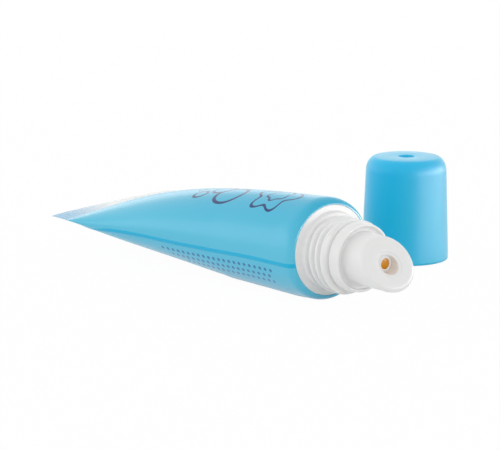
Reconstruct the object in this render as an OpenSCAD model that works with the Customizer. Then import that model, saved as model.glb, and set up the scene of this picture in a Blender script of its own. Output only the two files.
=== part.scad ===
// Laminated squeeze tube of amber balm with a slanted applicator tip, lying on its belly, cap off beside it.
// Millimetres. X runs along the tube to the tip, Z is up, and the origin is on the floor under the belly.

/* [Sleeve] */
// Diameter of the round end of the sleeve
tube_d = 19; // [18:0.5:24]
// Length from the white flange face back to the sealed end
tube_len = 70.8; // [60:0.1:110]
// Thickness of the laminated sleeve
wall = 0.35; // [0.25:0.05:0.6]
// Width of the flat sealed strip at the tail
seal_len = 5.5; // [3:0.5:9]
// Height of the sealed strip above the floor
seal_height = 7.6; // [3:0.1:12]
// Turn of the sealed strip about the tube axis
seal_twist = 4.3; // [0:0.1:10]
// Length of the belly that rests on the floor
belly_len = 25; // [16:1:40]
// Straight fall of the upper line from shoulder to seal
top_taper = 4.8; // [2:0.1:6]
// Radial width of the rounded shoulder edge
corner_w = 1.07; // [0.6:0.01:1.6]
// Axial length of the rounded shoulder edge
corner_len = 2.1; // [1:0.1:3]

/* [Neck] */
// Diameter of the raised ring at the foot of the neck
foot_ring_d = 14.3; // [13.6:0.1:15]
// Height of the raised ring above the flange face
foot_ring_h = 1.2; // [0.6:0.1:1.6]
// Diameter of the neck between the threads
neck_d = 12.9; // [12.4:0.1:13.4]
// Length of the threaded neck from the flange face
neck_len = 7; // [6.6:0.1:9]
// Diameter over the thread crests
thread_d = 14.7; // [14:0.1:15.6]
// Rise of the thread in one turn
thread_pitch = 1.55; // [1.2:0.05:1.8]
// Width of a thread ridge at its foot
thread_foot_w = 1.15; // [0.8:0.05:1.3]
// Width of a thread ridge at its crest
thread_crest_w = 0.4; // [0.2:0.05:0.6]
// Diameter of the plain collar in front of the thread
collar_d = 12.25; // [11.6:0.05:12.4]
// Length of the plain collar
collar_len = 2.2; // [1.6:0.1:3]
// Width of the ring groove round the nozzle foot
groove_w = 0.85; // [0.5:0.05:1]
// Depth of the ring groove round the nozzle foot
groove_depth = 0.8; // [0.3:0.1:1]
// Width of the collar's rim outside the groove
rim_w = 0.35; // [0.2:0.05:0.5]

/* [Nozzle] */
// Diameter of the nozzle
nozzle_d = 9.5; // [8.5:0.1:9.8]
// Length from the flange face to the slanted face, on the axis
nozzle_len = 16.2; // [15:0.1:17]
// Lean of the slanted face
tip_lean = 33; // [20:1:38]
// Turn of the slanted face from straight up towards the near side
tip_turn = 28.9; // [0:0.1:90]
// Rounding of the slanted face's edge
tip_round = 0.8; // [0.4:0.1:1.2]
// Diameter of the shallow dish round the mouth
dish_d = 4.4; // [3.8:0.1:5]
// Depth of the shallow dish
dish_depth = 0.25; // [0.1:0.05:0.4]
// Diameter of the straight part of the orifice mouth
mouth_d = 3.1; // [2.6:0.05:3.4]
// Length of the straight part of the orifice mouth
mouth_straight = 0.8; // [0.6:0.1:1.2]
// Diameter to which the mouth flares where it meets the slanted face on the axis
mouth_rim_d = 3.4; // [3.1:0.05:3.8]
// Depth of the orifice mouth on the axis
mouth_depth = 1.7; // [1.2:0.1:2]
// Diameter of the channel from the chamber to the mouth
channel_d = 2; // [1.4:0.1:2.4]
// Wall of the white moulding
head_wall = 1.2; // [0.9:0.1:1.4]

/* [Cap] */
// Diameter of the cap at its open rim
cap_d = 17.3; // [17:0.1:19]
// Height of the cap
cap_h = 20.5; // [20:0.1:26]
// Narrowing of the cap on each side from rim to top
cap_taper = 0.65; // [0:0.05:0.9]
// Thickness of the cap's top
cap_top = 1.2; // [0.8:0.1:1.2]
// Horizontal size of the rounded top edge
cap_edge_w = 1.9; // [1:0.1:2.4]
// Vertical size of the rounded top edge
cap_edge_h = 3; // [1.5:0.1:4]
// Diameter of the dimple in the cap's top
dimple_d = 3.3; // [2:0.1:5]
// Depth of the dimple
dimple_depth = 0.5; // [0.2:0.1:0.7]
// Place of the standing cap along the tube
cap_x = -6.3; // [-40:0.1:20]
// Distance of the standing cap from the tube axis
cap_y = 36.2; // [26:0.1:60]

/* [Fits] */
// Clearance between the neck thread and the cap
cap_clearance = 0.25; // [0.15:0.05:0.35]
// Clearance between the sleeve and what it holds
seat_gap = 0.12; // [0.08:0.01:0.2]

/* [Hidden] */

round_steps = 96;
ring_points = 48;
body_rings = 22;
tube_r = tube_d / 2;
lip_r = tube_r - corner_w;
corner_x = 12;
flange_x = corner_x + corner_len;
body_len = tube_len - corner_len;
loft_len = body_len - seal_len;
belly_sink = 0.25;
sink_run = 4;
top_curve = 3;
top_end_curve = 24;
top_end_share = 0.12;
bottom_curve = 1.15;
bottom_end_curve = 5.6;
bottom_end_share = 0.54;
twist_curve = 1.5;
tail_crowding = 1.25;

// Share of the way closed at q: a slow curve all along, and a fast one next to the seal
function closing(q, slow, fast, fast_share) = (1 - fast_share) * pow(q, slow) + fast_share * pow(q, fast);

// Height of the upper line of the sleeve, s behind the shoulder corner
function top_line(s) =
    let (q = min(s / loft_len, 1), seal_top = seal_height + wall)
    tube_d - top_taper * q
        - (tube_d - top_taper - seal_top) * closing(q, top_curve, top_end_curve, top_end_share);

// Height of the lower line, which sinks a little where the floor then flattens it
function bottom_line(s) =
    let (seal_bottom = seal_height - wall,
         rise = max(0, min((s - belly_len) / (loft_len - belly_len), 1)),
         sink = belly_sink * smooth(s / sink_run) * smooth((belly_len - s) / sink_run))
    seal_bottom * closing(rise, bottom_curve, bottom_end_curve, bottom_end_share) - sink;

function smooth(q) = let (c = max(0, min(q, 1))) c * c * (3 - 2 * c);

// The sleeve doesn't stretch: as it gets lower it gets wider, so that its girth stays the same
function girth(a, b) = PI * (3 * (a + b) - sqrt((3 * a + b) * (a + 3 * b)));
function half_width(b, low = tube_r * 0.5, high = tube_r * 1.7, tries = 18) =
    let (middle = (low + high) / 2)
    tries == 0 ? middle
    : girth(middle, b) < 2 * PI * tube_r ? half_width(b, middle, high, tries - 1)
    : half_width(b, low, middle, tries - 1);

// One section of the sleeve, drawn in by inset and flattened where it meets the floor
function section(s, inset, points) =
    let (b = (top_line(s) - bottom_line(s)) / 2,
         middle_z = (top_line(s) + bottom_line(s)) / 2,
         a = half_width(b),
         turn = seal_twist * pow(max(0, min((s - belly_len) / (loft_len - belly_len), 1)), twist_curve))
    [for (i = [0 : points - 1])
        let (angle = 360 * i / points, y = (a - inset) * cos(angle), z = (b - inset) * sin(angle))
        [corner_x - s, y * cos(turn) - z * sin(turn), max(inset, middle_z + y * sin(turn) + z * cos(turn))]];

// One ring of the rounded shoulder edge: angle 0 is the round sleeve, 90 is the lip at the flange
function corner_ring(angle, inset, points) =
    let (r = lip_r + (corner_w - inset) * cos(angle), x = corner_x + (corner_len - inset) * sin(angle))
    [for (i = [0 : points - 1]) [x, r * cos(360 * i / points), tube_r + r * sin(360 * i / points)]];

// Stations crowd together towards the seal, where the sleeve closes fastest
function station(i) = loft_len * (1 - pow(1 - i / body_rings, tail_crowding));
cavity_rings = body_rings - 1;

// Skin over a row of rings that all have the same number of points, with a flat end on each side
module loft(rings) {
    points = len(rings[0]);
    last = len(rings) - 1;
    polyhedron(
        points = [for (ring = rings) each ring],
        faces = concat(
            [[for (i = [0 : points - 1]) i]],
            [[for (i = [0 : points - 1]) last * points + points - 1 - i]],
            [for (k = [0 : last - 1], i = [0 : points - 1])
                let (a = k * points + i, b = k * points + (i + 1) % points)
                each [[b, a, a + points], [b, a + points, b + points]]]),
        convexity = 6);
}

// Puts a piece drawn round Z on the tube axis: Z points out of the tip, X points up
module on_axis() {
    translate([flange_x, 0, tube_r]) rotate([0, 90, 0]) rotate(180) children();
}

// Blue sleeve: one thick skin that runs up the outside, turns in at the lip and goes back inside to the seal
module sleeve() {
    corner_steps = 5;
    seal_steps = 2;
    outer = concat(
        [for (i = [seal_steps : -1 : 1]) section(loft_len + seal_len * i / seal_steps, 0, ring_points)],
        [for (i = [body_rings : -1 : 0]) section(station(i), 0, ring_points)],
        [for (i = [1 : corner_steps]) corner_ring(90 * i / corner_steps, 0, ring_points)]);
    inner = concat(
        [for (i = [corner_steps : -1 : 1]) corner_ring(90 * i / corner_steps, wall, ring_points)],
        [for (i = [0 : cavity_rings]) section(station(i), wall, ring_points)]);
    color("deepskyblue") loft(concat(outer, inner));
}

// Helical ridge that fades out at the two mould parting lines, above and below
module thread_ridge(foot_r, crest_r, first, last, start_z) {
    step = 10;
    fade_from = 10;
    fade_over = 22;
    function rise(angle) =
        let (past_parting = (angle % 180 + 180) % 180, from_parting = min(past_parting, 180 - past_parting))
        smooth((from_parting - fade_from) / fade_over);
    outward = crest_r > foot_r ? 1 : -1;
    buried_r = foot_r - outward * 2 * ridge_root;
    low_r = foot_r - outward * ridge_root;
    steps = ceil((last - first) / step);
    rings = [for (i = [0 : steps], angle = [first + (last - first) * i / steps])
        let (z = start_z + thread_pitch * angle / 360, r = low_r + (crest_r - low_r) * rise(angle),
             half_foot = thread_foot_w / 2, half_crest = thread_crest_w / 2,
             profile = [[buried_r, -half_foot], [buried_r, half_foot], [r, half_crest], [r, -half_crest]])
        [for (k = [0 : 3])
            let (p = profile[outward > 0 ? k : 3 - k])
            [p[0] * cos(angle), p[0] * sin(angle), z + p[1]]]];
    loft(rings);
}

foot_ring_r = foot_ring_d / 2;
neck_r = neck_d / 2;
thread_r = thread_d / 2;
collar_r = collar_d / 2;
collar_z = neck_len + collar_len;
groove_outer_r = collar_r - rim_w;
groove_inner_r = groove_outer_r - groove_w;
nozzle_r = nozzle_d / 2;
edge = 0.25;
groove_edge = 0.1;
ridge_root = 0.1;
lip_gap = 0.05;
flange_r = lip_r - lip_gap;
skirt_r = tube_r - wall - seat_gap;
skirt_back = 0.8;
shoulder_wall = 1.4;
neck_bore_r = neck_r - head_wall;
chamber_r = nozzle_r - head_wall;
tip_drop = nozzle_r * tan(tip_lean);
tip_blend = 0.2;
plain_nozzle_top = nozzle_len - tip_drop - tip_round - tip_blend;
chamber_top = nozzle_len - chamber_r * tan(tip_lean) - head_wall;
mouth_floor = nozzle_len - mouth_depth;
neck_bore_top = collar_z - groove_depth - head_wall;
crest_offset = 1.65;
thread_start = 0.4;
thread_runout = 0.2;
past_end = 1;
thread_zero_z = foot_ring_h + crest_offset - thread_pitch / 4;
function thread_angle(z) = 360 * (z - thread_zero_z) / thread_pitch;

// Outline of the white moulding, from the skirt inside the sleeve to the plain part of the nozzle
function head_outline() = concat(
    [[0, -corner_len - skirt_back], [skirt_r, -corner_len - skirt_back]],
    [for (angle = [0 : 18 : 90])
        [lip_r + (corner_w - wall - seat_gap) * cos(angle),
         -corner_len + (corner_len - wall - seat_gap) * sin(angle)]],
    [[flange_r, -wall - seat_gap], [flange_r, 0]],
    [[foot_ring_r, 0], [foot_ring_r, foot_ring_h - edge], [foot_ring_r - edge, foot_ring_h]],
    [[neck_r, foot_ring_h], [neck_r, neck_len], [collar_r, neck_len]],
    [for (angle = [0 : 30 : 90])
        [collar_r - edge + edge * cos(angle), collar_z - edge + edge * sin(angle)]],
    [[groove_outer_r, collar_z - groove_edge], [groove_outer_r, collar_z - groove_depth]],
    [[groove_inner_r, collar_z - groove_depth], [nozzle_r, collar_z + edge]],
    [[nozzle_r, plain_nozzle_top], [0, plain_nozzle_top]]);

// Hollow of the moulding, open at the back, drawn in by inset so that the filling follows it
function hollow_outline(back, inset) = [
    [0, back], [neck_bore_r - inset, back], [neck_bore_r - inset, neck_bore_top - inset],
    [chamber_r - inset, neck_bore_top - inset], [chamber_r - inset, chamber_top - inset],
    [channel_d / 2 - inset / 2, chamber_top - inset], [channel_d / 2 - inset / 2, mouth_floor - inset / 2],
    [0, mouth_floor - inset / 2]];

// Half space above the slanted face, lowered along the axis by depth
module above_slant(depth) {
    size = 3 * nozzle_d;
    rotate(tip_turn) translate([0, 0, nozzle_len - depth]) rotate([0, tip_lean, 0])
        translate([-size / 2, -size / 2, 0]) cube(size);
}

// Slanted end of the nozzle with its rounded edge
module slanted_tip() {
    knots = 32;
    ball_steps = 20;
    ball_r = nozzle_r - tip_round;
    ball_drop = tip_round / cos(tip_lean);
    rotate(tip_turn) hull() {
        translate([0, 0, plain_nozzle_top - tip_round])
            cylinder(r = nozzle_r, h = tip_round, $fn = round_steps);
        for (i = [0 : knots - 1])
            let (x = ball_r * cos(360 * i / knots), y = ball_r * sin(360 * i / knots))
            translate([x, y, nozzle_len - ball_drop - x * tan(tip_lean)])
                sphere(r = tip_round, $fn = ball_steps);
    }
}

// Orifice mouth: straight at its floor, then flared, up past the slanted face
module mouth() {
    flare_z = mouth_floor + mouth_straight;
    flare_slope = (mouth_rim_d - mouth_d) / 2 / (nozzle_len - flare_z);
    flare_h = nozzle_r;
    translate([0, 0, mouth_floor]) cylinder(d = mouth_d, h = mouth_straight + ridge_root, $fn = round_steps);
    translate([0, 0, flare_z])
        cylinder(r1 = mouth_d / 2, r2 = mouth_d / 2 + flare_slope * flare_h, h = flare_h, $fn = round_steps);
}

// White moulding: shoulder, flange, threaded neck, collar and slanted nozzle in one piece
module head() {
    foot_z = -corner_len - skirt_back;
    color("whitesmoke") on_axis() difference() {
        union() {
            rotate_extrude($fn = round_steps) polygon(head_outline());
            thread_ridge(neck_r, thread_r, thread_angle(foot_ring_h + thread_foot_w / 2 + thread_start),
                thread_angle(neck_len - thread_foot_w / 2 - thread_runout), thread_zero_z);
            slanted_tip();
        }
        rotate_extrude($fn = round_steps) polygon(hollow_outline(foot_z - past_end, 0));
        translate([0, 0, foot_z - past_end])
            cylinder(r = skirt_r - head_wall, h = past_end - foot_z - shoulder_wall, $fn = round_steps);
        mouth();
        intersection() {
            above_slant(dish_depth);
            cylinder(d = dish_d, h = nozzle_len + nozzle_d, $fn = round_steps);
        }
    }
}

// Amber balm: fills the sleeve, the neck and the nozzle up to the floor of the orifice mouth
module cream() {
    inset = wall + seat_gap;
    fill_points = 36;
    fill_rings = 14;
    fill_start = skirt_back + seat_gap;
    fill_end = station(cavity_rings) - seat_gap;
    front = corner_len + fill_start;
    color("darkorange") {
        loft([for (i = [fill_rings : -1 : 0])
            section(fill_start + (fill_end - fill_start) * i / fill_rings, inset, fill_points)]);
        on_axis() rotate_extrude($fn = round_steps) polygon(hollow_outline(-front - past_end, seat_gap));
        on_axis() translate([0, 0, -front - past_end])
            cylinder(r = skirt_r - head_wall - seat_gap, h = front + past_end - shoulder_wall - seat_gap,
                $fn = round_steps);
    }
}

cap_r = cap_d / 2;
cap_bore_r = thread_r + cap_clearance;
cap_crest_r = neck_r + cap_clearance;
cap_wall = cap_r - cap_bore_r;
cap_side_r = cap_r - cap_taper;
lead_in_step = 0.2;
cap_mouth_r = cap_bore_r + lead_in_step;
lead_in = 2.6;
cap_thread_z = lead_in + thread_foot_w / 2 + thread_runout;
cap_thread_turns = 2;
thread_zone_top = cap_thread_z + cap_thread_turns * thread_pitch + thread_foot_w / 2 + thread_runout;

// Outline of the cap, with an elliptic top edge
function cap_outline() = concat(
    [[0, 0], [cap_r - edge, 0], [cap_r, edge], [cap_side_r, cap_h - cap_edge_h]],
    [for (angle = [15 : 15 : 90])
        [cap_side_r - cap_edge_w + cap_edge_w * cos(angle), cap_h - cap_edge_h + cap_edge_h * sin(angle)]],
    [[0, cap_h]]);

// Frosted cap standing on its open rim
module cap() {
    color("dodgerblue") translate([cap_x, cap_y, 0]) {
        difference() {
            rotate_extrude($fn = round_steps) polygon(cap_outline());
            rotate_extrude($fn = round_steps) polygon([
                [0, -past_end], [cap_mouth_r, -past_end], [cap_mouth_r, lead_in], [cap_bore_r, lead_in],
                [cap_bore_r, thread_zone_top],
                [cap_side_r - cap_wall, cap_h - cap_edge_h - cap_top],
                [cap_side_r - cap_wall - cap_edge_w, cap_h - cap_top], [0, cap_h - cap_top]]);
            translate([0, 0, cap_h - dimple_depth])
                cylinder(d = dimple_d, h = dimple_depth + past_end, $fn = round_steps);
        }
        thread_ridge(cap_bore_r, cap_crest_r, 0, 360 * cap_thread_turns, cap_thread_z);
    }
}

sleeve();
head();
cream();
cap();
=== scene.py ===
# %% [markdown]
# # A laminated squeeze tube and its cap
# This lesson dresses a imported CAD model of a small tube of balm: a soft blue sleeve with a sealed tail, a white
# moulding with a threaded neck and a slanted tip, the amber balm inside, and a frosted cap that stands beside it.
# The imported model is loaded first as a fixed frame. Each piece is then made again as a finer mesh in the same place,
# because the CAD pieces are made of flat facets, which show on glossy plastic.

# %% Load the frame
import math
from bisect import bisect_right

import bmesh
import bpy
from mathutils import Matrix, Vector


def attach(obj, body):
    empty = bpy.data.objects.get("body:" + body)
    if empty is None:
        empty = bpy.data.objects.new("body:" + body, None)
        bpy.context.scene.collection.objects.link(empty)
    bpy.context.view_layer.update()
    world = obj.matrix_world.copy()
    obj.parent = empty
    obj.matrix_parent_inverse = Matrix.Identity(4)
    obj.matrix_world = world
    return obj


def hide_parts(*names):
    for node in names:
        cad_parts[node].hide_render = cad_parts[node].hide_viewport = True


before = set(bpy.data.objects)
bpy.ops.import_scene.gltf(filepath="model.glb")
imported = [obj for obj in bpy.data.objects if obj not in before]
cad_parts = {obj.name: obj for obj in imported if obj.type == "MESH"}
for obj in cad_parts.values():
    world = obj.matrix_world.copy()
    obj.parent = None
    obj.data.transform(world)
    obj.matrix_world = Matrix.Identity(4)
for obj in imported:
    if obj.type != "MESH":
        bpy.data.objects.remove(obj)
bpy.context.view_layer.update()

MM = 0.001

# %% [markdown]
# ## Camera
# The camera stands where the photographer stood. It looks down by 11 degrees, along a line that meets the tube's axis
# at about 38 degrees, through a long lens from 43 cm away. A long lens gives little perspective, but enough to make
# the tail look thinner than it is.

# %% Place the camera
camera_data = bpy.data.cameras.new("camera")
camera_data.lens = 158.4
camera_data.sensor_width = 36.0
camera_data.clip_start = 0.01
camera_data.clip_end = 50.0
camera = bpy.data.objects.new("camera", camera_data)
camera.location = (0.31524, -0.25147, 0.09190)
camera.rotation_euler = [math.radians(angle) for angle in (78.772, -0.17, 52.329)]
bpy.context.scene.collection.objects.link(camera)
bpy.context.scene.camera = camera

# %% [markdown]
# ## Helpers for rings of vertices
# Every piece here is a row of rings. A turned piece is a profile spun round its axis. A piece that isn't round starts
# as one circle, and each new ring is extruded from the rim and moved into place. The extrusion copies a vertex's
# layer values, so a column number that is set on the first ring is still known on the last one.


# %% Rim extrusion and mesh finishing
WELD = 1e-4
LONGEST_CUT = 0.45  # share of an edge that a rounded corner may take up


def pull_ring(bm, rim, place):
    """Extrudes the rim once, puts each new vertex where place(vertex) says, and returns the new rim."""
    made = bmesh.ops.extrude_edge_only(bm, edges=rim)["geom"]
    new_verts = {g for g in made if isinstance(g, bmesh.types.BMVert)}
    for vert in new_verts:
        vert.co = place(vert)
    return [g for g in made if isinstance(g, bmesh.types.BMEdge) and set(g.verts) <= new_verts]


def first_ring(bm, column, ring):
    """Starts a row of rings: a circle whose vertices carry their column numbers. Returns its edges."""
    verts = bmesh.ops.create_circle(bm, cap_ends=False, segments=len(ring), radius=1)["verts"]
    for k, vert in enumerate(verts):
        vert[column], vert.co = k, ring[k]
    return list(bm.edges)


def axis_angle(vert):
    """The angle at which a vertex stands round the local Z axis."""
    return math.atan2(vert.co.y, vert.co.x)


def open_rims(bm):
    return [edge for edge in bm.edges if edge.is_boundary]


def spin_profile(bm, profile, steps):
    """Turns (axial, radius) points in millimetres round the local Z axis."""
    verts = [bm.verts.new((radius, 0, axial)) for axial, radius in profile]
    edges = [bm.edges.new(pair) for pair in zip(verts, verts[1:])]
    bmesh.ops.spin(bm, geom=verts + edges, cent=(0, 0, 0), axis=(0, 0, 1), angle=2 * math.pi,
                   steps=steps, use_merge=True, use_duplicate=False)
    bmesh.ops.remove_doubles(bm, verts=bm.verts, dist=WELD)


def rounded(points, radii, segments):
    """Rounds the corners of an open outline, each by its own radius (0 keeps it sharp)."""
    out = [Vector(points[0])]
    for k in range(1, len(points) - 1):
        before, corner, after = (Vector(points[j]) for j in (k - 1, k, k + 1))
        to_before, to_after = before - corner, after - corner
        reach = min(radii[k], LONGEST_CUT * to_before.length, LONGEST_CUT * to_after.length)
        if reach <= 0:
            out.append(corner)
            continue
        start = corner + to_before.normalized() * reach
        end = corner + to_after.normalized() * reach
        for j in range(segments + 1):
            t = j / segments
            out.append(start * (1 - t) ** 2 + corner * 2 * t * (1 - t) + end * t * t)
    out.append(Vector(points[-1]))
    return [tuple(p) for p in out]


def finish_piece(name, bm, body, replaced, place=None, sharp=38):
    """Makes a bmesh a smooth object in metres that rides on a body and stands for a CAD node."""
    if place is not None:
        bm.transform(place)
    bm.transform(Matrix.Scale(MM, 4))
    bmesh.ops.recalc_face_normals(bm, faces=bm.faces)
    mesh = bpy.data.meshes.new(name)
    bm.to_mesh(mesh)
    bm.free()
    mesh.shade_smooth()
    mesh.set_sharp_from_angle(angle=math.radians(sharp))
    piece = bpy.data.objects.new(name, mesh)
    bpy.context.scene.collection.objects.link(piece)
    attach(piece, body)
    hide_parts(replaced)
    print(name, "has", len(mesh.vertices), "vertices")
    return piece


# %% [markdown]
# ## Sleeve
# The sleeve is a laminated film, rolled into a 19 mm pipe, lapped along its side and welded flat at the tail. The
# film doesn't stretch, so its girth stays the same: where the tube gets lower it gets wider. Each ring is an ellipse
# of that girth, with its points spaced evenly along the film, so the lap, which is straight on the film, also runs
# true here. The film then turns in round the shoulder and goes back inside, which gives it its thickness.

# %% Lines of the sleeve
TUBE_D, TUBE_LEN, WALL = 19.0, 70.8, 0.35
SEAL_LEN, SEAL_HEIGHT, SEAL_TWIST = 5.5, 7.6, 4.3
BELLY_LEN, TOP_TAPER = 25.0, 4.8
CORNER_W, CORNER_LEN, CORNER_X = 1.07, 2.1, 12.0
BELLY_SINK, SINK_RUN = 0.25, 4.0
TOP_CURVES, BOTTOM_CURVES, TWIST_CURVE = (3, 24, 0.12), (1.15, 5.6, 0.54), 1.5
TUBE_R = TUBE_D / 2
LIP_R = TUBE_R - CORNER_W
FLANGE_X = CORNER_X + CORNER_LEN
LOFT_LEN = TUBE_LEN - CORNER_LEN - SEAL_LEN
GIRTH = math.pi * TUBE_D
HALVINGS = 24


def smooth(q):
    """Eases from 0 to 1 while q goes from 0 to 1."""
    c = max(0.0, min(q, 1.0))
    return c * c * (3 - 2 * c)


def tail_share(s):
    """How far s lies on the way from the belly to the seal."""
    return max(0.0, min((s - BELLY_LEN) / (LOFT_LEN - BELLY_LEN), 1.0))


def closing(q, slow, fast, fast_share):
    """Share of the way closed: a slow curve all along, and a fast one next to the seal."""
    return (1 - fast_share) * q ** slow + fast_share * q ** fast


def upper_line(s):
    q = min(s / LOFT_LEN, 1.0)
    return TUBE_D - TOP_TAPER * q - (TUBE_D - TOP_TAPER - SEAL_HEIGHT - WALL) * closing(q, *TOP_CURVES)


def lower_line(s):
    sink = BELLY_SINK * smooth(s / SINK_RUN) * smooth((BELLY_LEN - s) / SINK_RUN)
    return (SEAL_HEIGHT - WALL) * closing(tail_share(s), *BOTTOM_CURVES) - sink


def half_width(half_height):
    """Half width of the ellipse that has this half height and the film's girth."""
    low, high = TUBE_R * 0.5, TUBE_R * 1.7
    for _ in range(HALVINGS):
        middle = (low + high) / 2
        a, b = middle, half_height
        girth = math.pi * (3 * (a + b) - math.sqrt((3 * a + b) * (a + 3 * b)))
        low, high = (middle, high) if girth < GIRTH else (low, middle)
    return low


# %% Rings spaced evenly along the film
ELLIPSE_STEPS = 1440
DRIFT_SHOULDER, DRIFT_RUN = 0.007, 14.0
DRIFT_BELLY, DRIFT_FROM, DRIFT_TO, DRIFT_BACK = 0.016, 28.0, 50.0, 10


def drift(s):
    """The film isn't rolled quite true: the share of the girth by which it has turned, s behind the shoulder."""
    belly = smooth((s - DRIFT_FROM) / (DRIFT_TO - DRIFT_FROM)) * (1 - smooth((s - DRIFT_TO) / DRIFT_BACK))
    return DRIFT_SHOULDER * max(0.0, 1 - s / DRIFT_RUN) ** 2 - DRIFT_BELLY * belly


def even_ellipse(a, b, shares):
    """Points on an ellipse at given shares of its girth, from the bottom up the far side and down the near side."""
    turns = [2 * math.pi * i / ELLIPSE_STEPS for i in range(ELLIPSE_STEPS + 1)]
    fine = [(a * math.sin(turn), -b * math.cos(turn)) for turn in turns]
    run = [0.0]
    for p, q in zip(fine, fine[1:]):
        run.append(run[-1] + math.hypot(q[0] - p[0], q[1] - p[1]))
    points = []
    for share in shares:
        target = share % 1.0 * run[-1]
        k = bisect_right(run, target) - 1
        t = (target - run[k]) / (run[k + 1] - run[k])
        points.append((fine[k][0] * (1 - t) + fine[k + 1][0] * t, fine[k][1] * (1 - t) + fine[k + 1][1] * t))
    return points


def film_ring(s, inset, shares):
    """One ring of the sleeve, s behind the shoulder corner, drawn in by inset and flat on the floor."""
    top, bottom = upper_line(s), lower_line(s)
    b = (top - bottom) / 2
    turn = math.radians(SEAL_TWIST * tail_share(s) ** TWIST_CURVE)
    ring = []
    for y, z in even_ellipse(half_width(b) - inset, b - inset, [q + drift(s) for q in shares]):
        height = (top + bottom) / 2 + y * math.sin(turn) + z * math.cos(turn)
        ring.append(Vector((CORNER_X - s, y * math.cos(turn) - z * math.sin(turn), max(inset, height))))
    return ring


def corner_ring(angle, inset, shares):
    """One ring of the rounded shoulder: angle 0 is the straight sleeve, 90 degrees is the lip."""
    r = LIP_R + (CORNER_W - inset) * math.cos(angle)
    x = CORNER_X + (CORNER_LEN - inset) * math.sin(angle)
    turns = [2 * math.pi * (q + drift(0)) for q in shares]
    return [Vector((x, r * math.sin(turn), TUBE_R - r * math.cos(turn))) for turn in turns]


# %% [markdown]
# The lap is a real step: along a strip just under 1 mm wide the film lies double. It gets a few extra columns, so
# that its edges stay crisp. The seal gets fine ribs, as hot jaws leave them, which run along the tube. The film's UV
# map holds the share of the girth in U, and in V the way behind the shoulder.

# %% Build the sleeve
LAP_SHARE, LAP_W, LAP_H, LAP_SLOPE, LAP_END = 0.778, 0.8, 0.06, 0.14, 4
LAP_COLUMNS_AT = (-0.62, -0.52, -0.45, -0.38, -0.25, 0.25, 0.38, 0.45, 0.52, 0.62)
LAP_CLEAR_FROM, LAP_CLEAR_TO = 0.2, 0.7  # where the lap's own columns take the place of the even ones
RIB_PITCH, RIB_H = GIRTH / 72, 0.05
COLUMNS = 288
BODY_STEPS, CORNER_STEPS, SEAL_STEPS = 84, 9, 8
STATION_CROWDING = 1.2  # over 1, the rings crowd towards the tail
FILM_V_START, FILM_V_LEN = 10, 100


def from_lap(share):
    """Distance along the film from the middle of the lap."""
    return abs(share - LAP_SHARE) * GIRTH


even_shares = [i / COLUMNS for i in range(COLUMNS)]
SHARES = sorted([LAP_SHARE + d / GIRTH for d in LAP_COLUMNS_AT] +
                [q for q in even_shares if not LAP_CLEAR_FROM <= from_lap(q) <= LAP_CLEAR_TO])


def lap_rise(share):
    return smooth((LAP_W / 2 + LAP_SLOPE / 2 - from_lap(share)) / LAP_SLOPE)


def raise_film(ring, shares, height):
    """Moves the points of a ring outward by height(share)."""
    middle = sum(ring, Vector()) / len(ring)
    out = []
    for k, point in enumerate(ring):
        along = ring[(k + 1) % len(ring)] - ring[k - 1]
        outward = along.cross(Vector((1, 0, 0))).normalized()
        if outward.dot(point - middle) < 0:
            outward.negate()
        out.append(point + outward * height(shares[k]))
    return out


def build_sleeve():
    stations = [LOFT_LEN * (1 - (1 - i / BODY_STEPS) ** STATION_CROWDING) for i in range(BODY_STEPS + 1)]
    rows = []
    for i in range(SEAL_STEPS, 0, -1):
        s = LOFT_LEN + SEAL_LEN * i / SEAL_STEPS
        ring = film_ring(s, 0, SHARES)
        if i < SEAL_STEPS:
            for point, share in zip(ring, SHARES):
                point.z += RIB_H * math.cos(2 * math.pi * share * GIRTH / RIB_PITCH)
        rows.append((s, ring))
    for s in reversed(stations):
        fade = smooth((LOFT_LEN - s) / LAP_END)
        rows.append((s, raise_film(film_ring(s, 0, SHARES), SHARES, lambda q: LAP_H * lap_rise(q) * fade)))
    turns_in = [(i, 0) for i in range(1, CORNER_STEPS + 1)] + [(i, WALL) for i in range(CORNER_STEPS, 0, -1)]
    for i, inset in turns_in:
        rows.append((-CORNER_LEN * i / CORNER_STEPS, corner_ring(math.pi / 2 * i / CORNER_STEPS, inset, SHARES)))
    # Inside, every third station is enough, and the last few are left out because the seal is closed there
    for s in stations[:-4:3]:
        rows.append((s, film_ring(s, WALL, SHARES)))

    bm = bmesh.new()
    column = bm.verts.layers.int.new("column")
    along = bm.verts.layers.float.new("along")
    rim = first_ring(bm, column, rows[0][1])
    for vert in bm.verts:
        vert[along] = rows[0][0]
    for s, ring in rows[1:]:
        rim = pull_ring(bm, rim, lambda vert: ring[vert[column]])
        for edge in rim:
            for vert in edge.verts:
                vert[along] = s
    film = bm.loops.layers.uv.new("film")
    for face in bm.faces:
        columns = [loop.vert[column] for loop in face.loops]
        wraps = max(columns) - min(columns) > len(SHARES) / 2
        for loop in face.loops:
            k = loop.vert[column]
            share = 1.0 if wraps and k == 0 else SHARES[k]
            loop[film].uv = (share, (loop.vert[along] + FILM_V_START) / FILM_V_LEN)
    bmesh.ops.holes_fill(bm, edges=open_rims(bm), sides=0)
    return finish_piece("sleeve_film", bm, "tube", "sleeve", sharp=50)


sleeve_film = build_sleeve()

# %% [markdown]
# ## White moulding
# One injection moulding makes the shoulder, the flange, the threaded neck, the collar and the nozzle. It is turned
# from one profile. The thread is then raised out of the neck: each vertex asks how far it lies from the helix. The
# ridge fades out on the top, where the two halves of the mould part.

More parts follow.
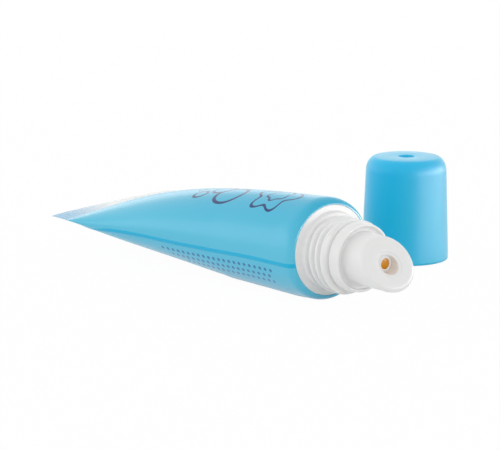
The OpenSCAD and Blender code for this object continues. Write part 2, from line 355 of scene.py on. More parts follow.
# %% Sizes of the moulding
FOOT_RING_R, FOOT_RING_H = 7.15, 1.2
NECK_R, NECK_LEN, THREAD_R, PITCH = 6.45, 7.0, 7.35, 1.55
THREAD_FOOT_W, THREAD_CREST_W = 1.15, 0.4
NECK_DIP, DIP_LEN = 0.6, 0.55
COLLAR_BACK_R, COLLAR_R, COLLAR_LEN = 6.42, 6.2, 2.2
GROOVE_W, GROOVE_DEPTH, RIM_W = 0.9, 0.6, 0.45
NOZZLE_R, NOZZLE_LEN = 4.75, 16.2
TIP_LEAN, TIP_TURN, TIP_ROUND = math.radians(33), math.radians(28.9), 0.8
DISH_R, DISH_DEPTH = 2.2, 0.25
MOUTH_R, MOUTH_RIM_R, MOUTH_DEPTH = 1.55, 1.7, 1.7
CHANNEL_R, HEAD_WALL, SEAT_GAP = 1.0, 1.2, 0.12
LIP_OUT, LIP_H, LIP_STEP = 1.3, 0.55, 0.14
SKIRT_BACK, SHOULDER_WALL = 0.8, 1.4
SKIRT_R = TUBE_R - WALL - SEAT_GAP
COLLAR_TOP = NECK_LEN + COLLAR_LEN
GROOVE_OUTER_R = COLLAR_R - RIM_W
CHAMBER_R = NOZZLE_R - HEAD_WALL
TIP_SLOPE = math.tan(TIP_LEAN)
PLAIN_TOP = NOZZLE_LEN - NOZZLE_R * TIP_SLOPE - TIP_ROUND - 0.2
CHAMBER_TOP = NOZZLE_LEN - CHAMBER_R * TIP_SLOPE - HEAD_WALL
MOUTH_FLOOR = NOZZLE_LEN - MOUTH_DEPTH
NECK_BORE_TOP = COLLAR_TOP - GROOVE_DEPTH - HEAD_WALL
FIRST_CREST_H = 1.65  # above the foot ring, a quarter turn on
THREAD_ZERO = FOOT_RING_H + FIRST_CREST_H - PITCH / 4
FIRST_TURN, LAST_TURN, END_RUN = -66.8, 885.0, 12  # degrees
PARTING_HALF, PARTING_RUN = 10, 48  # degrees
HEAD_STEPS, NECK_ROWS = 168, 96

# The tube's axis: local Z is the world's X, local X is up, and local Y is the near side
AXES = Matrix(((0, 0, 1, 0), (0, -1, 0, 0), (1, 0, 0, 0), (0, 0, 0, 1)))
ON_AXIS = Matrix.Translation((FLANGE_X, 0, TUBE_R)) @ AXES


# %% Thread height
def parting_fade(degrees):
    """0 at the parting line on the top (0 degrees), 1 well away from it on both sides."""
    past = degrees % 360
    return smooth((min(past, 360 - past) - PARTING_HALF) / PARTING_RUN)


def ridge(height, degrees, zero, first, last):
    """Share of the full thread depth at this height and angle."""
    best = 0.0
    for turn in range(-1, 4):
        whole = degrees + 360 * turn
        if first <= whole <= last:
            off = abs(height - zero - PITCH * whole / 360)
            flank = (THREAD_FOOT_W - THREAD_CREST_W) / 2
            ends = smooth((whole - first) / END_RUN) * smooth((last - whole) / END_RUN)
            best = max(best, smooth((THREAD_FOOT_W / 2 - off) / flank) * ends * parting_fade(whole))
    return best


# %% [markdown]
# The nozzle ends in a slanted oval face with a rolled edge. Round the edge, each ring swings from straight outward to
# square on the slanted face, as a ball rolled along the rim would leave it. The rings then go in over the face, down
# the dish, the mouth and the low lip round the channel, and back inside the moulding, so that it is one closed shell.

# %% Build the moulding
FACE_NORMAL = Vector((math.sin(TIP_LEAN) * math.cos(TIP_TURN), math.sin(TIP_LEAN) * math.sin(TIP_TURN),
                      math.cos(TIP_LEAN)))
EDGE_SHARES = (0, 0.14, 0.28, 0.42, 0.56, 0.7, 0.85, 1)


def on_face(r, angle, depth):
    """A point of the slanted face at this radius, lowered along the axis."""
    x, y = r * math.cos(angle), r * math.sin(angle)
    return Vector((x, y, NOZZLE_LEN - depth - (x * math.cos(TIP_TURN) + y * math.sin(TIP_TURN)) * TIP_SLOPE))


def rolled_edge(angle, share):
    """A point on the nozzle's rounded rim, from its side (0) to its face (1)."""
    centre = on_face(NOZZLE_R - TIP_ROUND, angle, TIP_ROUND / math.cos(TIP_LEAN))
    outward = Vector((math.cos(angle), math.sin(angle), 0))
    return centre + outward.slerp(FACE_NORMAL, share) * TIP_ROUND


def build_head():
    inset = WALL + SEAT_GAP
    quarter = [math.radians(d) for d in range(0, 91, 15)]
    shoulder = [(-CORNER_LEN + (CORNER_LEN - inset) * math.sin(a), LIP_R + (CORNER_W - inset) * math.cos(a))
                for a in quarter]
    lower = [(-CORNER_LEN - SKIRT_BACK, SKIRT_R)] + shoulder + [
        (-inset, LIP_R - 0.02), (0, LIP_R - 0.02), (0.12, FOOT_RING_R + 0.05), (FOOT_RING_H, FOOT_RING_R),
        (FOOT_RING_H, NECK_R), (FOOT_RING_H + 0.3, NECK_R)]
    lower = rounded(lower, [0] * 8 + [0, 0.18, 0.15, 0.3, 0.15, 0], 4)
    fine_from, fine_to = FOOT_RING_H + 0.36, NECK_LEN - 0.08
    heights = [fine_from + (fine_to - fine_from) * i / NECK_ROWS for i in range(NECK_ROWS + 1)]
    neck = [(z, NECK_R - NECK_DIP * smooth((z - NECK_LEN + DIP_LEN) / (DIP_LEN / 2))) for z in heights]
    groove_floor = COLLAR_TOP - GROOVE_DEPTH
    upper = [(NECK_LEN - 0.04, NECK_R - NECK_DIP), (NECK_LEN, NECK_R - NECK_DIP), (NECK_LEN, COLLAR_BACK_R),
             (COLLAR_TOP, COLLAR_R), (COLLAR_TOP, GROOVE_OUTER_R), (groove_floor, GROOVE_OUTER_R - 0.1),
             (groove_floor, GROOVE_OUTER_R - GROOVE_W), (COLLAR_TOP + 0.4, NOZZLE_R), (PLAIN_TOP, NOZZLE_R)]
    upper = rounded(upper, [0, 0.02, 0.12, 0.45, 0.2, 0.3, 0.3, 0.6, 0], 6)
    bm = bmesh.new()
    spin_profile(bm, lower + neck + upper, HEAD_STEPS)
    for vert in bm.verts:
        if fine_from - 0.1 < vert.co.z < fine_to + 0.02:
            angle = axis_angle(vert)
            share = ridge(vert.co.z, math.degrees(angle) % 360, THREAD_ZERO, FIRST_TURN, LAST_TURN)
            base = math.hypot(vert.co.x, vert.co.y)
            r = base + (THREAD_R - base) * share
            vert.co.x, vert.co.y = r * math.cos(angle), r * math.sin(angle)

    rim = [e for e in open_rims(bm) if e.verts[0].co.z > COLLAR_TOP]
    for share in EDGE_SHARES:
        rim = pull_ring(bm, rim, lambda v: rolled_edge(axis_angle(v), share))
    face = [(3.2, 0), (DISH_R + 0.14, 0), (DISH_R + 0.04, 0.03), (DISH_R - 0.04, 0.12),
            (DISH_R - 0.1, 0.22), (DISH_R - 0.2, DISH_DEPTH), (MOUTH_RIM_R + 0.16, DISH_DEPTH),
            (MOUTH_RIM_R + 0.04, DISH_DEPTH + 0.05), (MOUTH_RIM_R - 0.03, DISH_DEPTH + 0.2)]
    for r, depth in face:
        rim = pull_ring(bm, rim, lambda v: on_face(r, axis_angle(v), depth))
    foot = LIP_H - LIP_STEP
    lip = [(MOUTH_R, foot + 0.2), (MOUTH_R - 0.02, foot + 0.05), (MOUTH_R - 0.06, foot),
           (LIP_OUT + 0.04, foot), (LIP_OUT, foot + 0.05), (LIP_OUT - 0.03, LIP_H - 0.04),
           (LIP_OUT - 0.1, LIP_H), (CHANNEL_R + 0.1, LIP_H), (CHANNEL_R + 0.03, LIP_H - 0.03),
           (CHANNEL_R, LIP_H - 0.12)]
    inside = [(CHANNEL_R, CHAMBER_TOP), (CHAMBER_R, CHAMBER_TOP), (CHAMBER_R, NECK_BORE_TOP),
              (NECK_R - HEAD_WALL, NECK_BORE_TOP), (NECK_R - HEAD_WALL, -SHOULDER_WALL),
              (SKIRT_R - HEAD_WALL, -SHOULDER_WALL), (SKIRT_R - HEAD_WALL, -CORNER_LEN - SKIRT_BACK)]
    for r, z in [(r, MOUTH_FLOOR + up) for r, up in lip] + inside:
        rim = pull_ring(bm, rim, lambda v: Vector((r * math.cos(axis_angle(v)), r * math.sin(axis_angle(v)), z)))
    bmesh.ops.bridge_loops(bm, edges=open_rims(bm))
    bmesh.ops.remove_doubles(bm, verts=bm.verts, dist=WELD)
    return finish_piece("head_moulding", bm, "tube", "head", ON_AXIS)


head_moulding = build_head()

# %% [markdown]
# ## Balm
# The balm fills the sleeve and the moulding. Only a small amber disc of it shows, at the foot of the orifice, where
# it stands slightly proud like a drop. It is one closed shell: film-shaped rings first, then round ones in the neck.

# %% Build the balm
BALM_INSET = WALL + SEAT_GAP
BALM_COLUMNS, BALM_ROWS = 96, 24
CAD_RINGS, CAD_CROWDING = 22, 1.25  # the CAD balm ends one of these rings before the seal
DROP_FOOT, DROP_H, DROP_R = MOUTH_FLOOR + LIP_H - 0.22, 0.12, CHANNEL_R - 0.01
DROP_ANGLES = (0, 20, 40, 60, 75, 86)


def build_balm():
    shares = [i / BALM_COLUMNS for i in range(BALM_COLUMNS)]
    start = SKIRT_BACK + SEAT_GAP
    end = LOFT_LEN * (1 - (1 - (CAD_RINGS - 1) / CAD_RINGS) ** CAD_CROWDING) - SEAT_GAP
    stations = [start + (end - start) * i / BALM_ROWS for i in range(BALM_ROWS, -1, -1)]
    rows = [film_ring(s, BALM_INSET, shares) for s in stations]
    g = SEAT_GAP
    domed = [(DROP_FOOT + DROP_H * math.sin(a), DROP_R * math.cos(a)) for a in map(math.radians, DROP_ANGLES)]
    for z, r in [(-CORNER_LEN - start, SKIRT_R - HEAD_WALL - g), (-SHOULDER_WALL - g, SKIRT_R - HEAD_WALL - g),
                 (-SHOULDER_WALL - g, NECK_R - HEAD_WALL - g), (NECK_BORE_TOP - g, NECK_R - HEAD_WALL - g),
                 (NECK_BORE_TOP - g, CHAMBER_R - g), (CHAMBER_TOP - g, CHAMBER_R - g),
                 (CHAMBER_TOP - g, CHANNEL_R - g / 2)] + domed:
        rows.append([Vector((FLANGE_X + z, r * math.sin(2 * math.pi * q), TUBE_R - r * math.cos(2 * math.pi * q)))
                     for q in shares])
    bm = bmesh.new()
    column = bm.verts.layers.int.new("column")
    rim = first_ring(bm, column, rows[0])
    for ring in rows[1:]:
        rim = pull_ring(bm, rim, lambda vert: ring[vert[column]])
    bmesh.ops.holes_fill(bm, edges=open_rims(bm), sides=0)
    return finish_piece("balm_fill", bm, "tube", "cream")


balm_fill = build_balm()

# %% [markdown]
# ## Cap
# The cap is a thin frosted cup that stands on its open rim. Its profile is spun in one go, outside and inside. The
# gate mark in the middle of the top is a small dimple with a nub left by the moulding.

# %% Build the cap
CAP_R, CAP_H, CAP_TAPER, CAP_TOP = 8.65, 20.5, 0.65, 1.2
CAP_EDGE_W, CAP_EDGE_H = 1.9, 3.0
CAP_PLACE = Matrix.Translation((-6.3, 36.2, 0))
CAP_BORE_R, CAP_CREST_R = THREAD_R + 0.25, NECK_R + 0.25
LEAD_IN, THREAD_CLEAR = 2.6, 0.2
CAP_SIDE_R = CAP_R - CAP_TAPER
CAP_THREAD_Z = LEAD_IN + THREAD_FOOT_W / 2 + THREAD_CLEAR
CAP_TURNS = 2
CAP_STEPS, BORE_ROWS = 144, 44


def build_cap():
    outside = [(CAP_H - CAP_EDGE_H + CAP_EDGE_H * math.sin(a), CAP_SIDE_R - CAP_EDGE_W + CAP_EDGE_W * math.cos(a))
               for a in (math.radians(d) for d in range(84, -1, -6))]
    top = [(CAP_H - 0.36, 0.0), (CAP_H - 0.37, 0.22), (CAP_H - 0.47, 0.42), (CAP_H - 0.5, 0.62), (CAP_H - 0.5, 1.35),
           (CAP_H - 0.4, 1.55), (CAP_H - 0.12, 1.62), (CAP_H - 0.02, 1.7), (CAP_H, 1.85), (CAP_H, 4.0)]
    side = [(z, CAP_R - CAP_TAPER * z / (CAP_H - CAP_EDGE_H)) for z in (14, 10.5, 7, 3.5, 0.6)]
    rim = [(0.25, CAP_R - 0.03), (0.08, CAP_R - 0.12), (0, CAP_R - 0.28), (0, CAP_BORE_R + 0.4),
           (0.1, CAP_BORE_R + 0.26), (0.25, CAP_BORE_R + 0.2), (LEAD_IN, CAP_BORE_R + 0.2),
           (LEAD_IN + 0.05, CAP_BORE_R)]
    thread_top = CAP_THREAD_Z + CAP_TURNS * PITCH + THREAD_FOOT_W / 2 + THREAD_CLEAR
    bore = [(LEAD_IN + 0.1 + (thread_top - LEAD_IN - 0.1) * i / BORE_ROWS, CAP_BORE_R) for i in range(BORE_ROWS + 1)]
    inner_r = CAP_SIDE_R - (CAP_R - CAP_BORE_R)
    inside = [(CAP_H - CAP_EDGE_H - CAP_TOP, inner_r), (CAP_H - CAP_TOP - 0.6, inner_r - 0.75),
              (CAP_H - CAP_TOP, inner_r - CAP_EDGE_W), (CAP_H - CAP_TOP, 0.0)]
    bm = bmesh.new()
    spin_profile(bm, top + outside + side + rim + bore + inside, CAP_STEPS)
    for vert in bm.verts:
        if LEAD_IN + 0.08 < vert.co.z < thread_top + 0.01 and math.hypot(vert.co.x, vert.co.y) < CAP_BORE_R + 0.05:
            angle = axis_angle(vert)
            share = ridge(vert.co.z, math.degrees(angle) % 360, CAP_THREAD_Z, 0, 360 * CAP_TURNS)
            r = CAP_BORE_R + (CAP_CREST_R - CAP_BORE_R) * share
            vert.co.x, vert.co.y = r * math.cos(angle), r * math.sin(angle)
    return finish_piece("cap_shell", bm, "cap", "cap", CAP_PLACE)


cap_shell = build_cap()

# %% [markdown]
# ## Shared surface effects
# Two effects are used again and again, so each is a node group with its own inputs. Moulding grain, which is in every
# finish, is a fine uneven height with a matching change of gloss. A printed line, which draws each stroke and dot on
# the film, is a mask that is 1 within a given distance of a value.


# %% Node helpers
def shader_group(name, inputs, outputs):
    group = bpy.data.node_groups.new(name, "ShaderNodeTree")
    for label, kind, default in inputs:
        socket = group.interface.new_socket(name=label, in_out="INPUT", socket_type=kind)
        if default is not None:
            socket.default_value = default
    for label, kind in outputs:
        group.interface.new_socket(name=label, in_out="OUTPUT", socket_type=kind)
    entry = group.nodes.new("NodeGroupInput")
    leave = group.nodes.new("NodeGroupOutput")
    return group, entry, leave


def math_node(tree, operation, a, b=None, c=None, clamp=False):
    """A Math node. Each input is a number or a socket."""
    node = tree.nodes.new("ShaderNodeMath")
    node.operation, node.use_clamp = operation, clamp
    for k, value in enumerate((a, b, c)):
        if isinstance(value, (int, float)):
            node.inputs[k].default_value = value
        elif value is not None:
            tree.links.new(value, node.inputs[k])
    return node.outputs[0]


def ramp(tree, value, start, span):
    """0 up to start, then evenly up to 1 over span. With a negative span it runs the other way."""
    return math_node(tree, "DIVIDE", math_node(tree, "SUBTRACT", value, start), span, clamp=True)


def diagonal(tree, a, b):
    """The length of the diagonal of a rectangle a by b."""
    squares = [math_node(tree, "MULTIPLY", side, side) for side in (a, b)]
    return math_node(tree, "POWER", math_node(tree, "ADD", *squares), 0.5)


def highest(tree, masks):
    """The strongest of several masks at each point."""
    best = masks[0]
    for mask in masks[1:]:
        best = math_node(tree, "MAXIMUM", best, mask)
    return best


def colour_mix(tree, share, first, second):
    """A colour between two colours or sockets."""
    node = tree.nodes.new("ShaderNodeMix")
    node.data_type = "RGBA"
    if isinstance(share, (int, float)):
        node.inputs["Factor"].default_value = share
    else:
        tree.links.new(share, node.inputs["Factor"])
    for label, value in (("A", first), ("B", second)):
        socket = [i for i in node.inputs if i.name == label and i.type == "RGBA"][0]
        if isinstance(value, (tuple, list)):
            socket.default_value = value
        else:
            tree.links.new(value, socket)
    return [o for o in node.outputs if o.type == "RGBA"][0]


# %% Moulding grain and printed line groups
def make_grain_group():
    group, entry, leave = shader_group(
        "moulding_grain",
        [("Place", "NodeSocketVector", None), ("Fine scale", "NodeSocketFloat", 2500.0),
         ("Broad scale", "NodeSocketFloat", 120.0), ("Gloss change", "NodeSocketFloat", 0.06),
         ("Base roughness", "NodeSocketFloat", 0.4)],
        [("Height", "NodeSocketFloat"), ("Roughness", "NodeSocketFloat"), ("Cloud", "NodeSocketFloat")])
    fine = group.nodes.new("ShaderNodeTexNoise")
    fine.inputs["Detail"].default_value = 3
    broad = group.nodes.new("ShaderNodeTexNoise")
    broad.inputs["Detail"].default_value = 2
    for node, label in ((fine, "Fine scale"), (broad, "Broad scale")):
        group.links.new(entry.outputs["Place"], node.inputs["Vector"])
        group.links.new(entry.outputs[label], node.inputs["Scale"])
    half_fine = math_node(group, "MULTIPLY", fine.outputs[0], 0.5)
    height = math_node(group, "MULTIPLY_ADD", broad.outputs[0], 0.5, half_fine)
    centred = math_node(group, "SUBTRACT", broad.outputs[0], 0.5)
    rough = math_node(group, "MULTIPLY_ADD", centred, entry.outputs["Gloss change"], entry.outputs["Base roughness"])
    group.links.new(height, leave.inputs["Height"])
    group.links.new(rough, leave.inputs["Roughness"])
    group.links.new(broad.outputs[0], leave.inputs["Cloud"])
    return group


def make_line_group():
    group, entry, leave = shader_group(
        "printed_line",
        [("Value", "NodeSocketFloat", 0.0), ("Centre", "NodeSocketFloat", 0.0),
         ("Half width", "NodeSocketFloat", 0.2), ("Soft edge", "NodeSocketFloat", 0.05)],
        [("Mask", "NodeSocketFloat")])
    off = math_node(group, "ABSOLUTE", math_node(group, "SUBTRACT", entry.outputs["Value"], entry.outputs["Centre"]))
    inside = math_node(group, "SUBTRACT", entry.outputs["Half width"], off)
    mask = math_node(group, "ADD", math_node(group, "DIVIDE", inside, entry.outputs["Soft edge"]), 0.5, clamp=True)
    group.links.new(mask, leave.inputs["Mask"])
    return group


GRAIN = make_grain_group()
LINE = make_line_group()


def new_material(name):
    """A material with one Principled shader, its tree and that shader."""
    material = bpy.data.materials.new(name)
    material.use_nodes = True
    tree = material.node_tree
    return material, tree, tree.nodes["Principled BSDF"]


def place_group(tree, group, **values):
    """Puts a group in a tree. A value is a number or a socket, and an underscore in its name stands for a space."""
    node = tree.nodes.new("ShaderNodeGroup")
    node.node_tree = group
    for label, value in values.items():
        socket = node.inputs[label.replace("_", " ")]
        if isinstance(value, (int, float)):
            socket.default_value = value
        else:
            tree.links.new(value, socket)
    return node


def set_surface(tree, shader, colour, grain, bump_strength, bump_distance, **values):
    """Links colour, gloss and bump to the shader. Each further value is one of the shader's inputs."""
    tree.links.new(colour, shader.inputs["Base Color"])
    tree.links.new(grain.outputs["Roughness"], shader.inputs["Roughness"])
    for label, value in values.items():
        shader.inputs[label.replace("_", " ")].default_value = value
    bump = tree.nodes.new("ShaderNodeBump")
    bump.inputs["Strength"].default_value = bump_strength
    bump.inputs["Distance"].default_value = bump_distance
    tree.links.new(grain.outputs["Height"], bump.inputs["Height"])
    tree.links.new(bump.outputs["Normal"], shader.inputs["Normal"])


def object_place(tree):
    return tree.nodes.new("ShaderNodeTexCoord").outputs["Object"]


# %% [markdown]
# ## Film finish
# The film is printed light blue and has an even soft gloss. Its blue is painted deeper on the top and paler down
# the sides: this is painted shade and painted light, not print. The print follows the film's own UV map: U runs round
# the girth, and V along the tube. On the lap the ink lies double and looks stronger. The seal at the tail is
# unprinted;
# its far half is painted paler, fading out across the near half of its top, as a painted reflection. A plain ornament
# of outlined petals and rings stands on the upper side, and rows of dots below the lap.

# %% Build the film finish
# Painted shade and light: the deeper blue on the top and the paler blue down the sides
FILM_TOP_PAINTED_SHADE = (0.030, 0.450, 0.68, 1)
FILM_SIDE_PAINTED_LIGHT = (0.100, 0.550, 0.76, 1)
LAP_BLUE = (0.0, 0.46, 0.73, 1)
SEAL_TINT = (0.30, 0.56, 0.76, 1)
# Painted reflection: the near-white on the seal's far half
SEAL_PAINTED_REFLECTION = (0.86, 0.88, 0.88, 1)
INK = (0.0, 0.04, 0.16, 1)
DOT_INK = (0.0, 0.11, 0.36, 1)
# Where the painted shade on the top gives way to the painted light on the sides
SHADE_FADE_START, SHADE_FADE_SPAN, CLOUD_SHARE = 0.05, 0.18, 0.1
SEAL_REFLECTION_AT, SEAL_REFLECTION_SPAN = 0.70, 0.18
PRINT_END_GAP, PRINT_END_SOFT = 0.6, 0.3
LAP_INK_HALF = 0.42

# Outlines on the upper side: place along the tube and round it, radius, lobes, their depth and turn, half line width
OUTLINES = ((10.5, 1.5, 5.2, 6, 0.16, 0.4, 0.34), (10.5, 1.5, 2.6, 6, 0.10, 3.5, 0.26),
            (23.6, 3.4, 3.4, 1, 0, 0, 0.38), (28.4, 1.0, 2.3, 1, 0, 0, 0.34),
            (32.2, 4.2, 1.5, 1, 0, 0, 0.32), (35.0, 1.6, 0.9, 1, 0, 0, 0.2))

# Rows of dots: below the lap by DOT_DROP, each row shifted, and each a little shorter than the one above it
DOT_PITCH, DOT_R, DOT_SOFT, DOT_STRENGTH = 1.5, 0.36, 0.1, 0.85
DOT_ROWS, DOT_DROP, DOT_ROW_PITCH, DOT_SHIFT = 3, 1.8, 1.35, 0.5
DOT_MIDDLE, DOT_HALF, MIDDLE_STEP, HALF_STEP = 20.5, 16.5, 1.2, 1.6


def make_film_finish():
    material, tree, shader = new_material("printed_film")
    uv = tree.nodes.new("ShaderNodeUVMap")
    uv.uv_map = "film"
    split = tree.nodes.new("ShaderNodeSeparateXYZ")
    tree.links.new(uv.outputs["UV"], split.inputs[0])
    round_mm = math_node(tree, "MULTIPLY", split.outputs["X"], GIRTH)
    along_mm = math_node(tree, "MULTIPLY_ADD", split.outputs["Y"], FILM_V_LEN, -FILM_V_START)

    def line(value, centre, half, soft=0.06):
        return place_group(tree, LINE, Value=value, Centre=centre, Half_width=half, Soft_edge=soft).outputs["Mask"]

    def petals(along_at, round_at, radius, lobes, depth, turn, half):
        """Outline of a flower: its radius swells and shrinks round its middle. Without depth it is a ring."""
        dx = math_node(tree, "SUBTRACT", along_mm, along_at)
        dy = math_node(tree, "SUBTRACT", round_mm, GIRTH * 0.5 + round_at)
        angle = math_node(tree, "ARCTAN2", dy, dx)
        wave = math_node(tree, "COSINE", math_node(tree, "MULTIPLY_ADD", angle, lobes, turn))
        edge = math_node(tree, "MULTIPLY_ADD", wave, depth * radius, radius)
        return line(math_node(tree, "SUBTRACT", diagonal(tree, dx, dy), edge), 0, half)

    def dot_row(k):
        step = math_node(tree, "PINGPONG", math_node(tree, "ADD", along_mm, DOT_SHIFT * k), DOT_PITCH / 2)
        aside = math_node(tree, "SUBTRACT", round_mm, LAP_SHARE * GIRTH + DOT_DROP + DOT_ROW_PITCH * k)
        span = line(along_mm, DOT_MIDDLE - MIDDLE_STEP * k, DOT_HALF - HALF_STEP * k)
        return math_node(tree, "MULTIPLY", line(diagonal(tree, step, aside), 0, DOT_R, DOT_SOFT), span)

    ornament = highest(tree, [petals(*outline) for outline in OUTLINES])
    dots = highest(tree, [dot_row(k) for k in range(DOT_ROWS)])

    grain = place_group(tree, GRAIN, Place=object_place(tree), Fine_scale=2200.0, Broad_scale=45.0,
                        Gloss_change=0.05, Base_roughness=0.26)
    from_top = math_node(tree, "ABSOLUTE", math_node(tree, "SUBTRACT", split.outputs["X"], 0.5))
    # Painted shade and light: 0 on the top (deeper blue), 1 down the sides (paler blue)
    fade = ramp(tree, from_top, SHADE_FADE_START, SHADE_FADE_SPAN)
    painted_shade_and_cloud = math_node(tree, "MULTIPLY_ADD", grain.outputs["Cloud"], CLOUD_SHARE, fade, clamp=True)
    colour = colour_mix(tree, painted_shade_and_cloud, FILM_TOP_PAINTED_SHADE, FILM_SIDE_PAINTED_LIGHT)
    colour = colour_mix(tree, line(round_mm, LAP_SHARE * GIRTH, LAP_INK_HALF, LAP_SLOPE), colour, LAP_BLUE)
    colour = colour_mix(tree, ornament, colour, INK)
    colour = colour_mix(tree, math_node(tree, "MULTIPLY", dots, DOT_STRENGTH), colour, DOT_INK)
    unprinted = ramp(tree, along_mm, LOFT_LEN - PRINT_END_GAP, PRINT_END_SOFT)
    # Painted reflection on the seal: 1 on its far half, fading out across the near half of its top
    seal_reflection = ramp(tree, round_mm, SEAL_REFLECTION_AT * GIRTH, -SEAL_REFLECTION_SPAN * GIRTH)
    colour = colour_mix(tree, unprinted, colour, colour_mix(tree, seal_reflection, SEAL_TINT, SEAL_PAINTED_REFLECTION))
    set_surface(tree, shader, colour, grain, 0.03, 0.0002, IOR=1.5, Specular_IOR_Level=0.35)
    return material


sleeve_film.data.materials.append(make_film_finish())

# %% [markdown]
# ## White plastic, balm and frosted blue plastic
# The moulding is white polyethylene: light enters it a little, so its shadows are soft. In the orifice the lower
# part of the wall, on its far side, gets painted shade tinted amber, a painted reflection of the balm. The balm is
# amber and half clear. The cap is blue plastic with a frosted skin: light goes well into it, and the skin scatters a
# pale veil where it is seen at a slant.

# %% Build the moulding's finish
WHITE = (0.86, 0.86, 0.855, 1)
# Painted shade tinted amber, a painted reflection of the balm, on the orifice's far lower wall
MOUTH_PAINTED_SHADE = (0.60, 0.38, 0.20, 1)
MOUTH_SHADE_SHARE, MOUTH_SHADE_SOFT = 0.3, 0.1 * MM
MOUTH_SHADE_LEAN, MOUTH_SHADE_RUN, MOUTH_SHADE_MIDDLE = -0.6, 1.2 * MM, 0.55


def make_white_finish():
    material, tree, shader = new_material("white_moulding")
    place = object_place(tree)
    grain = place_group(tree, GRAIN, Place=place, Fine_scale=3000.0, Broad_scale=200.0,
                        Gloss_change=0.1, Base_roughness=0.36)
    split = tree.nodes.new("ShaderNodeSeparateXYZ")
    tree.links.new(place, split.inputs[0])
    dy = split.outputs["Y"]
    dz = math_node(tree, "SUBTRACT", split.outputs["Z"], TUBE_R * MM)
    off_axis = diagonal(tree, dy, dz)
    in_mouth = ramp(tree, off_axis, (MOUTH_RIM_R + 0.06) * MM, -MOUTH_SHADE_SOFT)
    near_tip = math_node(tree, "GREATER_THAN", split.outputs["X"], (FLANGE_X + MOUTH_FLOOR - 0.4) * MM)
    on_wall = ramp(tree, off_axis, (LIP_OUT + 0.05) * MM, MOUTH_SHADE_SOFT)
    # Painted shade: stronger on the far side of the orifice wall and lower down
    slant = math_node(tree, "MULTIPLY_ADD", dz, MOUTH_SHADE_LEAN, dy)
    mouth_shade = math_node(tree, "MULTIPLY_ADD", slant, 1 / MOUTH_SHADE_RUN, MOUTH_SHADE_MIDDLE, clamp=True)
    for mask in (in_mouth, near_tip, on_wall, MOUTH_SHADE_SHARE):
        mouth_shade = math_node(tree, "MULTIPLY", mouth_shade, mask)
    set_surface(tree, shader, colour_mix(tree, mouth_shade, WHITE, MOUTH_PAINTED_SHADE), grain, 0.06, 0.0002, IOR=1.5,
                Specular_IOR_Level=0.3, Subsurface_Weight=0.25, Subsurface_Radius=(1.0, 0.95, 0.9),
                Subsurface_Scale=0.0006)
    return material


head_moulding.data.materials.append(make_white_finish())

# %% Build the balm's finish
AMBER = (0.76, 0.31, 0.001, 1)
AMBER_DEEP = (0.58, 0.21, 0.0, 1)


def make_balm_finish():
    material, tree, shader = new_material("amber_balm")
    grain = place_group(tree, GRAIN, Place=object_place(tree), Fine_scale=1500.0, Broad_scale=900.0,
                        Gloss_change=0.1, Base_roughness=0.3)
    colour = colour_mix(tree, grain.outputs["Cloud"], AMBER, AMBER_DEEP)
    set_surface(tree, shader, colour, grain, 0.1, 0.0002, Specular_IOR_Level=0.2, Subsurface_Weight=0.4,
                Subsurface_Radius=(1.0, 0.4, 0.1), Subsurface_Scale=0.0008)
    return material


balm_fill.data.materials.append(make_balm_finish())

# %% Build the cap's finish
CAP_BLUE = (0.0, 0.54, 0.86, 1)
CAP_DEEP = (0.0, 0.52, 0.84, 1)


def make_cap_finish():
    material, tree, shader = new_material("frosted_blue")
    grain = place_group(tree, GRAIN, Place=object_place(tree), Fine_scale=4000.0, Broad_scale=90.0,
                        Gloss_change=0.06, Base_roughness=0.45)
    colour = colour_mix(tree, grain.outputs["Cloud"], CAP_BLUE, CAP_DEEP)
    set_surface(tree, shader, colour, grain, 0.15, 0.0001, IOR=1.5, Subsurface_Weight=0.5,
                Subsurface_Radius=(0.5, 1.0, 1.6), Subsurface_Scale=0.0015, Sheen_Weight=0.5, Sheen_Roughness=0.4)
    return material


cap_shell.data.materials.append(make_cap_finish())

# %% [markdown]
# ## Floor and studio light
# The objects stand on a pale seamless table in a light tent. Seen by the camera and in gloss, the surroundings are
# white. The diffuse light is a little weaker, so that colours keep their value. Most of what the camera or a gloss
# sees of the floor is plain white, and the rest is lit like everything else, so that only a soft shadow is left.
# Three long sheets of light stand round the table. The one on the right is seen in gloss only and gives no diffuse
# light.

# %% Floor
FLOOR_HALF, FLOOR_DROP, FLOOR_WHITE_SHARE = 6.0, 0.02 * MM, 0.975


def seen_directly(tree, *kinds):
    """1 for rays of the given kinds, 0 for all others."""
    rays = tree.nodes.new("ShaderNodeLightPath")
    return highest(tree, [rays.outputs["Is %s Ray" % kind] for kind in kinds])


floor_bm = bmesh.new()
bmesh.ops.create_grid(floor_bm, x_segments=1, y_segments=1, size=FLOOR_HALF)
floor_bm.transform(Matrix.Translation((0, 0, -FLOOR_DROP)))
floor_mesh = bpy.data.meshes.new("floor")
floor_bm.to_mesh(floor_mesh)
floor_bm.free()
floor = bpy.data.objects.new("floor", floor_mesh)
bpy.context.scene.collection.objects.link(floor)

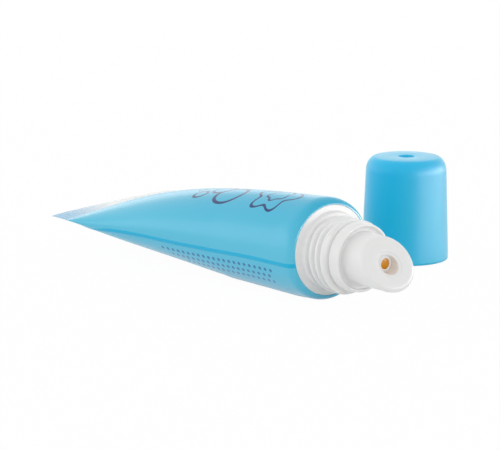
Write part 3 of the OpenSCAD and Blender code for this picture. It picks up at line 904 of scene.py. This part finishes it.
floor_material, floor_tree, floor_shader = new_material("pale_table")
floor_shader.inputs["Base Color"].default_value = (0.9, 0.9, 0.9, 1)
floor_shader.inputs["Roughness"].default_value = 0.7
floor_shader.inputs["Specular IOR Level"].default_value = 0.1
glow = floor_tree.nodes.new("ShaderNodeEmission")
glow.inputs["Strength"].default_value = 1.0
blend_floor = floor_tree.nodes.new("ShaderNodeMixShader")
output = floor_tree.nodes["Material Output"]
white_share = math_node(floor_tree, "MULTIPLY", seen_directly(floor_tree, "Camera", "Glossy"), FLOOR_WHITE_SHARE)
floor_tree.links.new(white_share, blend_floor.inputs["Fac"])
floor_tree.links.new(floor_shader.outputs["BSDF"], blend_floor.inputs[1])
floor_tree.links.new(glow.outputs["Emission"], blend_floor.inputs[2])
floor_tree.links.new(blend_floor.outputs["Shader"], output.inputs["Surface"])
floor_mesh.materials.append(floor_material)

# %% World and lamps
DIFFUSE_LIGHT = 0.88  # the world's light where it isn't seen directly; where it is, it is 1

# Name, place, point aimed at, size, power, seen in gloss only
LAMPS = (("back_sheet", (-0.48, 0.38, 0.10), (-0.006, 0.02, 0.01), (0.7, 0.16), 0.25, False),
         ("right_sheet", (0.30, 0.28, 0.045), (-0.006, 0.036, 0.01), (0.8, 0.08), 3.8, True),
         ("left_sheet", (-0.44, -0.30, 0.12), (-0.02, 0, 0.01), (0.8, 0.22), 0.5, False))

world = bpy.data.worlds.new("light_tent")
bpy.context.scene.world = world
world.use_nodes = True
sky_tree = world.node_tree
background = sky_tree.nodes["Background"]
background.inputs["Color"].default_value = (1, 1, 1, 1)
sky_strength = math_node(sky_tree, "MULTIPLY_ADD", seen_directly(sky_tree, "Camera", "Glossy", "Transmission"),
                         1 - DIFFUSE_LIGHT, DIFFUSE_LIGHT)
sky_tree.links.new(sky_strength, background.inputs["Strength"])


def soft_lamp(name, place, aim, size, power, gloss_only):
    data = bpy.data.lights.new(name, "AREA")
    data.shape, data.size, data.size_y = "RECTANGLE", size[0], size[1]
    data.energy = power
    lamp = bpy.data.objects.new(name, data)
    lamp.visible_diffuse = not gloss_only
    lamp.location = place
    lamp.rotation_euler = (Vector(aim) - Vector(place)).to_track_quat("-Z", "Y").to_euler()
    bpy.context.scene.collection.objects.link(lamp)


for lamp_values in LAMPS:
    soft_lamp(*lamp_values)

# %% [markdown]
# ## Colour view
# The view transform is set to Standard. The dressed model has to stay in the CAD model's box.

bpy.context.scene.view_settings.view_transform = "Standard"
